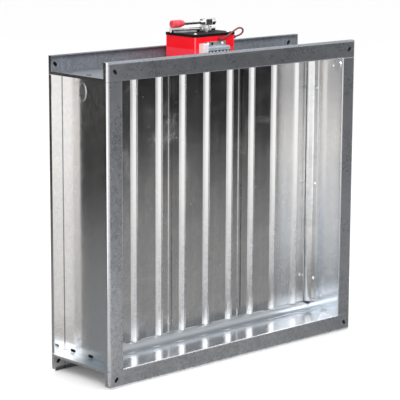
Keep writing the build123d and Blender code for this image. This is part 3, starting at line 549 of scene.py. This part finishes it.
def makeSlotShades():
    for facing, face in ((-1, "front"), (1, "back")):
        outward = Vector((0, facing, 0))
        for side, edge in ((-1, "left"), (1, "right")):
            for level, row, rise in zip(cornerSlotShades["levels"], ("low", "high"), (-1, 1)):
                lean = math.radians(cornerSlotShades["lean"] * side * rise)
                middle = Vector((side * cornerSlotShades["across"], facing * cornerSlotShades["front"], level))
                longways = Vector((math.cos(lean), 0, math.sin(lean)))
                makeSlotShade(f"slot_plug_{face}_{edge}_{row}", middle, longways, outward, cornerSlotShades)
    for along, place in zip(wallSlotShades["alongs"], ("front", "middle", "back")):
        middle = Vector((-wallSlotShades["front"], along, wallSlotShades["level"]))
        makeSlotShade(f"wall_slot_shade_{place}", middle, Vector((0, 1, 0)), Vector((-1, 0, 0)), wallSlotShades)


# painted shadow in the slots
makeSlotShades()
print("slot shades set")


# dark cap in the hole of the zinc strip: painted shadow in the hole

hole_shade = {
    "at": (-0.0170, -0.0260, 0.52875),
    "arcSteps": 32,
    "hubRise": 0.0002,
    "profile": ((0.0010, 0.0002), (0.0012, 0.0012), (0.0016, 0.0018), (0.0022, 0.0019),
                (0.00255, 0.0014), (0.00255, 0.0001)),  # radius and rise of each ring
}


def makeHoleShade():
    x, y, z = hole_shade["at"]
    steps = hole_shade["arcSteps"]
    turns = [2 * math.pi * step / steps for step in range(steps)]
    ring = bmesh.new()
    hub = ring.verts.new((x, y - hole_shade["hubRise"], z))
    rows = [[ring.verts.new((x + r * math.cos(a), y - rise, z + r * math.sin(a))) for a in turns]
            for r, rise in hole_shade["profile"]]
    for i in range(steps):
        ring.faces.new((hub, rows[0][i], rows[0][(i + 1) % steps]))
    bridge(ring, rows)
    ring.faces.new(rows[-1])
    setPiece("strip_hole_shade", ring, "black_enamel", smooth=True)


makeHoleShade()
print("grommet set")


# closing spring in the barrel; the real one shortens as the rack slides, this coil is wound at one length

closingSpring = {
    "freeEnd": (-0.0497, 0.02815, 0.5502),
    "heldEnd": (-0.02169, 0.02065, 0.5502),
    "along": (0.965926, -0.258819, 0.0),
    "radius": 0.0030,
    "wire": 0.0006,
    "openTurns": 5,
    "closedPitch": 0.00125,
    "stepsPerTurn": 40,
    "wireSides": 10,
    "stroke": 0.011,
    "gap": 0.00005,
}


def makeClosingSpring():
    s = closingSpring
    along = Vector(s["along"])
    across = Vector((0, 0, 1))
    third = along.cross(across)
    held = Vector(s["heldEnd"])
    length = (held - Vector(s["freeEnd"])).dot(along)
    inset = s["wire"] + s["gap"]
    turns = s["openTurns"] + 2  # one closed turn at each end
    openPitch = (length - 2 * inset - 2 * s["closedPitch"]) / s["openTurns"]
    steps = turns * s["stepsPerTurn"]
    coil = bmesh.new()
    rings = []
    for step in range(steps + 1):
        turn = turns * step / steps
        closed = min(turn, 1) + max(turn - turns + 1, 0)
        back = inset + closed * s["closedPitch"] + (turn - closed) * openPitch
        angle = 2 * math.pi * turn
        outward = across * math.cos(angle) + third * math.sin(angle)
        middle = held - along * back + outward * s["radius"]
        ring = []
        for side in range(s["wireSides"]):
            around = 2 * math.pi * side / s["wireSides"]
            offset = outward * math.cos(around) + along * math.sin(around)
            ring.append(coil.verts.new(middle + offset * s["wire"]))
        rings.append(ring)
    bridge(coil, rings)
    coil.faces.new(rings[0])
    coil.faces.new(rings[-1])
    piece = setPiece("closing_spring", coil, "plated_steel", smooth=True)
    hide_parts("return_spring")
    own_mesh(piece)


makeClosingSpring()
print("closing spring wound")


# lead that loops from the cover's front to its side

leadLook = {
    "radius": 0.0015,
    "length": 0.0793,
    "route": [
        (0.0, -0.029, 0.5358),
        (0.005, -0.0315, 0.537),
        (0.012, -0.0325, 0.5398),
        (0.022, -0.0325, 0.545),
        (0.032, -0.032, 0.55),
        (0.042, -0.031, 0.5525),
        (0.051, -0.0295, 0.5495),
        (0.0525, -0.0275, 0.543),
        (0.0455, -0.0245, 0.538),
        (0.037, -0.0215, 0.5365),
    ],
}


def makeLead():
    curve = bpy.data.curves.new("lead_loop", "CURVE")
    curve.dimensions = "3D"
    spline = curve.splines.new("NURBS")
    spline.points.add(len(leadLook["route"]) - 1)
    for point, place in zip(spline.points, leadLook["route"]):
        point.co = (*place, 1)
    spline.order_u = 3
    spline.use_endpoint_u = True
    spline.resolution_u = 12
    curve.bevel_depth = leadLook["radius"]
    curve.bevel_resolution = 4
    curve.use_fill_caps = True
    curve.materials.append(finishes["lead_red"])
    lead = bpy.data.objects.new("lead_loop", curve)
    bpy.context.collection.objects.link(lead)
    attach(lead, "frame")
    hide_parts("lead")


makeLead()
print("lead laid")


# camera at the photo's angle

cameraLook = {
    "azimuth": -42.69,
    "elevation": 10.97,
    "roll": 0.254,
    "distance": 2.88543,
    "target": (-0.01753, 0.0, 0.26307),
    "lens": 154.08,
    "clipEnd": 60,
}


def placeCamera():
    turn = math.radians(cameraLook["azimuth"])
    tilt = math.radians(cameraLook["elevation"])
    roll = math.radians(cameraLook["roll"])
    back = Vector((math.sin(turn) * math.cos(tilt), -math.cos(turn) * math.cos(tilt), math.sin(tilt)))
    right = Vector((math.cos(turn), math.sin(turn), 0))
    up = back.cross(right)
    leanRight = right * math.cos(roll) + up * math.sin(roll)
    leanUp = back.cross(leanRight)
    lens = bpy.data.cameras.new("camera")
    lens.lens = cameraLook["lens"]
    lens.clip_end = cameraLook["clipEnd"]
    camera = bpy.data.objects.new("camera", lens)
    bpy.context.collection.objects.link(camera)
    turned = Matrix((leanRight, leanUp, back)).transposed().to_4x4()
    place = Vector(cameraLook["target"]) + back * cameraLook["distance"]
    camera.matrix_world = Matrix.Translation(place) @ turned
    bpy.context.scene.camera = camera


placeCamera()


# floor, light and background

stageLook = {
    "floorSize": 30.0,
    "floor": (0.98, 0.98, 0.98),
    "sky": (1.0, 1.0, 1.0),
    "skyStrength": 1.0,
}


def makeSheet(name, corners, material):
    mesh = bpy.data.meshes.new(name)
    mesh.from_pydata(corners, [], [(0, 1, 2, 3)])
    mesh.materials.append(material)
    sheet = bpy.data.objects.new(name, mesh)
    bpy.context.collection.objects.link(sheet)
    return sheet


def makeFloor():
    half = stageLook["floorSize"] / 2
    corners = [(-half, -half, 0), (half, -half, 0), (half, half, 0), (-half, half, 0)]
    makeSheet("floor", corners, Finish("floor_white").shade(stageLook["floor"], 0.9))


flags = {  # grey studio cards on the floor, some with an upright end, seen only in the metal
    "flag_right": {
        "turn": -47.0, "near": ((-0.50, -0.078), (0.42, -0.078)), "far": 5.0, "half": 1.0, "tall": 2.2,
        "fade": (0.3, 3.0), "start": 0.31, "end": 0.03,
    },
    "flag_back": {
        "turn": 133.0, "near": ((-0.285, 0.329), (-0.285, -0.25)), "far": 4.0, "half": 0.82, "tall": 1.4,
        "fade": (0.3, 2.2), "start": 0.26, "end": 0.03, "soft": (0.2255, 0.0821, 0.045),
    },
    "flag_front": {
        "turn": -133.0, "near": ((-0.60, 0.25), (0.20, -0.60)), "far": 3.0, "half": 1.2, "tall": 0,
        "fade": (0.4, 2.6), "start": 0.72, "end": 1.0,
    },
}
flagLift = 0.002


def makeFlags():
    for name, flag in flags.items():
        turn = math.radians(flag["turn"])
        ahead = Vector((math.cos(turn), math.sin(turn), 0))
        aside = Vector((-ahead.y, ahead.x, 0)) * flag["half"]
        lift = Vector((0, 0, flagLift))
        far = ahead * flag["far"] + lift
        left, right = (Vector((*corner, 0)) + lift for corner in flag["near"])
        tall = Vector((0, 0, flag["tall"]))
        f = Finish(name)
        away = f.axis("X") * ahead.x + f.axis("Y") * ahead.y
        grey = f.span(away, *flag["fade"], (flag["start"], flag["end"]))
        if "soft" in flag:  # its slanting edge pales to white
            slope, edge, width = flag["soft"]
            aslant = f.axis("X") * -ahead.y + f.axis("Y") * ahead.x + away * slope
            grey = grey + (1 - grey) * f.span(aslant, edge + width, edge)
        colour = f.node("CombineColor", sockets={0: grey, 1: grey, 2: grey})
        glow = f.node("Emission", sockets={"Color": colour})
        f.node("OutputMaterial", sockets={"Surface": glow})
        sheets = [makeSheet(name, [left, far - aside, far + aside, right], f.material)]
        if flag["tall"]:
            back = [far - aside, far + aside, far + aside + tall, far - aside + tall]
            sheets.append(makeSheet(name + "_upright", back, f.material))
        for sheet in sheets:
            sheet.visible_camera = False
            sheet.visible_diffuse = False
            sheet.visible_shadow = False
            sheet.visible_transmission = False


def makeSky():
    world = bpy.data.worlds.new("sky")
    bpy.context.scene.world = world
    world.use_nodes = True
    sky = world.node_tree.nodes["Background"]
    sky.inputs["Color"].default_value = (*stageLook["sky"], 1)
    sky.inputs["Strength"].default_value = stageLook["skyStrength"]


lamps = {
    "key_left": {"at": (-1.6, -1.9, 1.9), "size": 1.2, "power": 42, "to": (0, 0, 0.3)},
    "fill_top": {"at": (0.6, 0.5, 2.4), "size": 1.6, "power": 14, "to": (0, 0, 0.3)},
}


def makeLamps():
    for name, lamp in lamps.items():
        light = bpy.data.lights.new(name, "AREA")
        light.energy = lamp["power"]
        light.size = lamp["size"]
        obj = bpy.data.objects.new(name, light)
        bpy.context.collection.objects.link(obj)
        obj.location = lamp["at"]
        aim = Vector(lamp["to"]) - Vector(lamp["at"])
        obj.rotation_euler = aim.to_track_quat("-Z", "Y").to_euler()


makeFloor()
makeFlags()
makeSky()
makeLamps()
bpy.context.scene.view_settings.view_transform = "Standard"
print("camera, floor and light placed")
